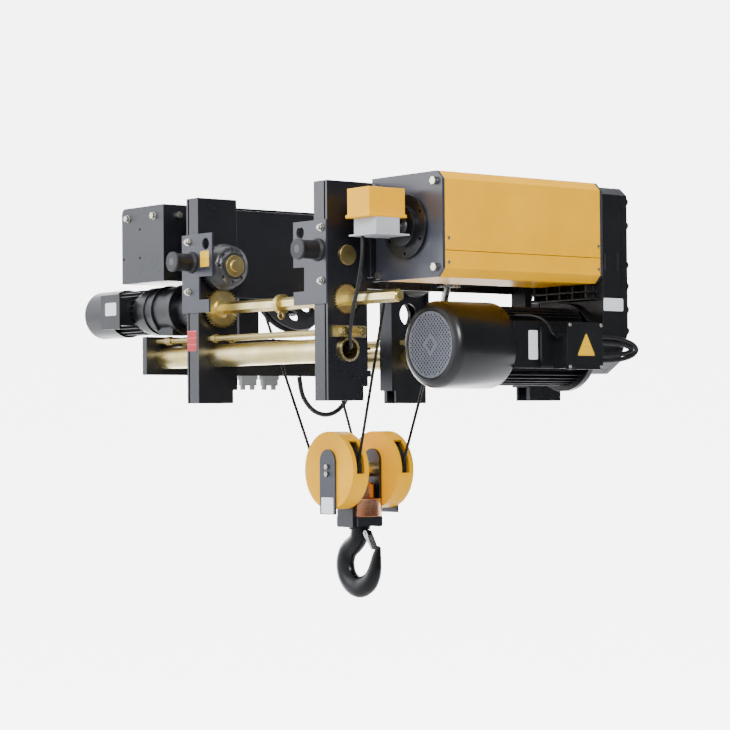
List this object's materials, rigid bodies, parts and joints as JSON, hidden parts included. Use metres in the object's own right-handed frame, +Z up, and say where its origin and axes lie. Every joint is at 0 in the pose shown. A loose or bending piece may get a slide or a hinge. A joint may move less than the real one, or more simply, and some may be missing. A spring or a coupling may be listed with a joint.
{
  "type": "electric wire rope hoist",
  "caption": "Low-headroom monorail hoist trolley with drum unit, side cabinet and a two-sheave hook block on four rope falls.",
  "frame": {"origin": "on the running surface of the beam flange, midway between the two side frames, above the hook", "axes": "+X across the beam towards the drum unit, +Y along the beam towards the gearbox end, +Z up"},
  "size_m": [2.044, 1.368, 1.575],
  "materials": {
    "frame_black": "satin black stoved paint",
    "motor_black": "satin black enamel on cast and finned housings",
    "cover_yellow": "satin warm yellow powder coat",
    "zinc_yellow": "yellow chromated zinc plate",
    "zinc_plain": "bright zinc plate",
    "rubber_black": "matt black rubber",
    "wheel_iron": "machined cast iron",
    "fan_plastic": "matt black plastic",
    "cable_black": "black cable sheath",
    "rope_steel": "greased galvanised steel wire rope",
    "bare_steel": "machined steel",
    "cast_grey": "light grey cast aluminium",
    "switch_yellow": "moulded yellow plastic",
    "bronze": "copper-coloured bronze",
    "hook_black": "black painted forged steel",
    "label_grey": "grey zinc flake plate"
  },
  "bodies": {
    "trolley": {"left_posts": "frame_black", "right_posts": "frame_black", "side_plates": "frame_black", "tie_tubes": "zinc_yellow", "gauge_rods": "zinc_yellow", "rod_straps": "zinc_yellow", "buffer_brackets": "frame_black", "buffers": "rubber_black", "bolts": "zinc_plain", "wheel_axles": "zinc_yellow", "shaft_bearings": "bare_steel", "trolley_gearbox": "motor_black", "trolley_motor": "motor_black", "trolley_fan_cover": "motor_black", "cabinet": "frame_black", "cabinet_supports": "frame_black", "counterweight": "frame_black", "plug_connectors": "zinc_plain", "cables": "cable_black", "drum_end_plates": "frame_black", "drum_tie_rods": "zinc_plain", "rope_guide": "bare_steel", "upper_cover": "cover_yellow", "lower_cover": "cover_yellow", "hoist_gearbox": "motor_black", "gearbox_cover": "motor_black", "motor_stator": "motor_black", "motor_fan_cover": "motor_black", "motor_terminal_box": "motor_black", "limit_switch": "cast_grey", "limit_switch_cover": "switch_yellow", "return_bracket": "frame_black", "rope_anchor": "bare_steel", "rope_return_wrap": "rope_steel", "rope_fall_drum": "rope_steel", "rope_falls_return": "rope_steel", "rope_fall_anchor": "rope_steel"},
    "wheel_fl": {"wheel_front_left": "wheel_iron"},
    "wheel_fr": {"wheel_front_right": "wheel_iron"},
    "wheel_rl": {"wheel_rear_left": "wheel_iron"},
    "wheel_rr": {"wheel_rear_right": "wheel_iron"},
    "drive_line": {"drive_shaft": "zinc_yellow", "drive_pinions": "zinc_yellow"},
    "trolley_rotor": {"trolley_fan": "fan_plastic"},
    "drum_set": {"drum": "bare_steel", "wound_rope": "rope_steel"},
    "hoist_rotor": {"motor_fan": "fan_plastic"},
    "return_wheel": {"return_sheave": "wheel_iron"},
    "hook_block": {"rope_block_wraps": "rope_steel", "block_straps": "frame_black", "sheave_guards": "cover_yellow", "guard_straps": "label_grey", "block_axle": "zinc_yellow", "block_crosshead": "frame_black", "bearing_housing": "bronze"},
    "block_wheel_front": {"sheave_front": "wheel_iron"},
    "block_wheel_rear": {"sheave_rear": "wheel_iron"},
    "hook_swivel_set": {"hook": "hook_black", "hook_nut": "bronze"},
    "hook_latch": {"latch": "zinc_plain"}
  },
  "joints": [
    {"name": "hook_lift", "type": "slide", "parent": "trolley", "child": "hook_block", "axis": [0, 0, 1], "range_m": [-5.75, 0.25], "deforming": ["rope_fall_drum", "rope_falls_return", "rope_fall_anchor"]},
    {"name": "drum_spin", "type": "hinge", "parent": "trolley", "child": "drum_set", "pos_m": [0.64, 0, 0.175], "axis": [0, 1, 0], "continuous": true},
    {"name": "return_sheave_spin", "type": "hinge", "parent": "trolley", "child": "return_wheel", "pos_m": [-0.452, 0, -0.021], "axis": [0.9048, 0, 0.4258], "continuous": true},
    {"name": "front_sheave_spin", "type": "hinge", "parent": "hook_block", "child": "block_wheel_front", "pos_m": [0, -0.112, -0.713], "axis": [0, 1, 0], "continuous": true},
    {"name": "rear_sheave_spin", "type": "hinge", "parent": "hook_block", "child": "block_wheel_rear", "pos_m": [0, 0.112, -0.713], "axis": [0, 1, 0], "continuous": true},
    {"name": "hook_swivel", "type": "hinge", "parent": "hook_block", "child": "hook_swivel_set", "pos_m": [0, 0, -0.86], "axis": [0, 0, 1], "continuous": true},
    {"name": "latch_hinge", "type": "hinge", "parent": "hook_swivel_set", "child": "hook_latch", "pos_m": [0.048, 0, -0.958], "axis": [0, 1, 0], "range_deg": [0, 30], "stiffness_Nm_per_rad": 0.3, "springref_deg": -28.65},
    {"name": "drive_spin", "type": "hinge", "parent": "trolley", "child": "drive_line", "pos_m": [0, -0.4075, -0.08], "axis": [1, 0, 0], "continuous": true},
    {"name": "front_left_wheel_spin", "type": "hinge", "parent": "trolley", "child": "wheel_fl", "pos_m": [-0.31, -0.4075, 0.08], "axis": [1, 0, 0], "continuous": true},
    {"name": "front_right_wheel_spin", "type": "hinge", "parent": "trolley", "child": "wheel_fr", "pos_m": [0.31, -0.4075, 0.08], "axis": [1, 0, 0], "continuous": true},
    {"name": "rear_left_wheel_spin", "type": "hinge", "parent": "trolley", "child": "wheel_rl", "pos_m": [-0.31, 0.5675, 0.08], "axis": [1, 0, 0], "continuous": true},
    {"name": "rear_right_wheel_spin", "type": "hinge", "parent": "trolley", "child": "wheel_rr", "pos_m": [0.31, 0.5675, 0.08], "axis": [1, 0, 0], "continuous": true},
    {"name": "trolley_fan_spin", "type": "hinge", "parent": "trolley", "child": "trolley_rotor", "pos_m": [-1.095, -0.4075, -0.075], "axis": [1, 0, 0], "continuous": true},
    {"name": "hoist_fan_spin", "type": "hinge", "parent": "trolley", "child": "hoist_rotor", "pos_m": [0.64, -0.086, -0.249], "axis": [0, 1, 0], "continuous": true}
  ],
  "couplings": [
    {"joint": "drum_spin", "follows": "hook_lift", "rad_per_m": 28.571},
    {"joint": "front_sheave_spin", "follows": "hook_lift", "rad_per_m": -26.087},
    {"joint": "rear_sheave_spin", "follows": "hook_lift", "rad_per_m": 8.6957},
    {"joint": "return_sheave_spin", "follows": "hook_lift", "rad_per_m": 14.085},
    {"joint": "front_left_wheel_spin", "follows": "drive_spin", "ratio": -0.81818},
    {"joint": "front_right_wheel_spin", "follows": "drive_spin", "ratio": -0.81818},
    {"joint": "trolley_fan_spin", "follows": "drive_spin", "ratio": 21}
  ]
}
